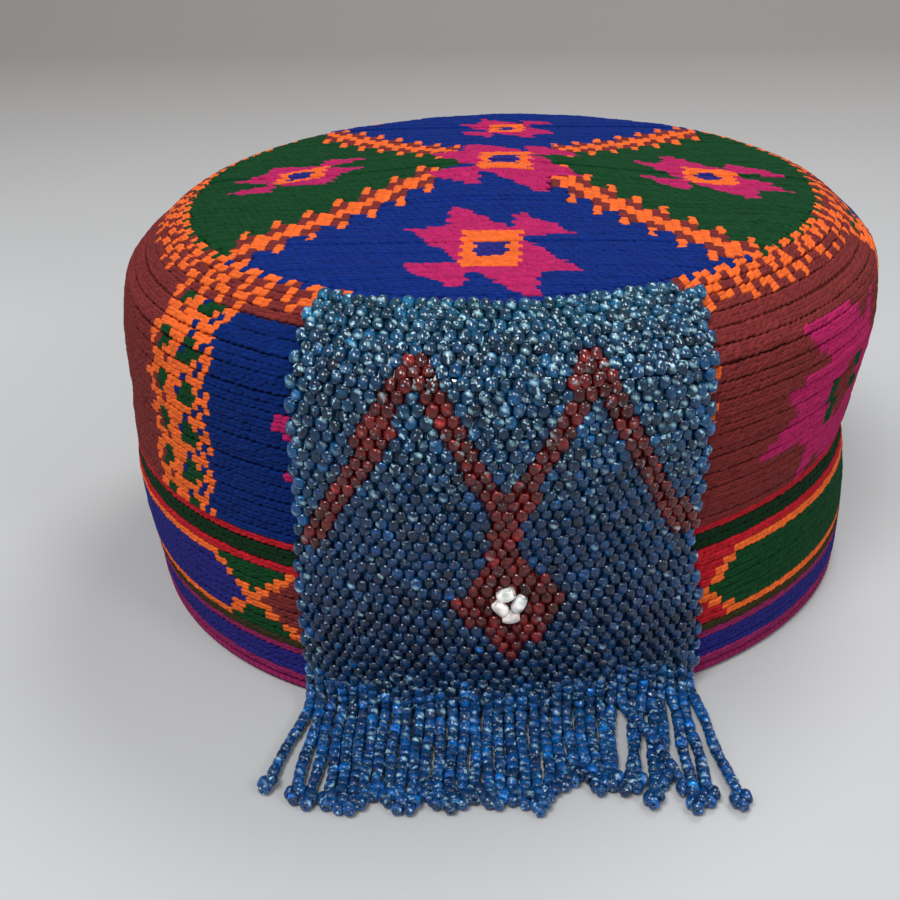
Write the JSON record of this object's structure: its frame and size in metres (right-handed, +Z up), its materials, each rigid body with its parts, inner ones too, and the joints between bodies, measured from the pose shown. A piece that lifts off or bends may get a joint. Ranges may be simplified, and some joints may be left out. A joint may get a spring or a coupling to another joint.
{
  "type": "embroidered pillbox cap with a bead panel",
  "caption": "Round flat-topped cap of padded, embroidered cloth with a woven seed-bead panel over the front that ends in a bead fringe.",
  "frame": {"origin": "under the middle of the box that holds the whole cap, on the surface that the cap stands on", "axes": "+Z up through the crown, -Y towards the front with the bead panel and fringe, +X to the right seen from the front"},
  "size_m": [0.1842, 0.209, 0.097],
  "materials": {
    "crown_stitching": "dense wool and cotton embroidery, mostly royal blue",
    "wall_stitching": "dense wool and cotton embroidery, mostly maroon and blue",
    "band_stitching": "dense wool and cotton embroidery, mostly green and navy",
    "hem_stitching": "magenta whipped edge",
    "panel_beads": "teal and navy glass seed beads, glossy",
    "fringe_beads": "cobalt glass seed beads, glossy"
  },
  "bodies": {
    "root": {"crown": "crown_stitching", "side_wall": "wall_stitching", "brow_band": "band_stitching", "hem_edge": "hem_stitching", "bead_panel": "panel_beads", "bead_fringe": "fringe_beads"}
  },
  "joints": []
}
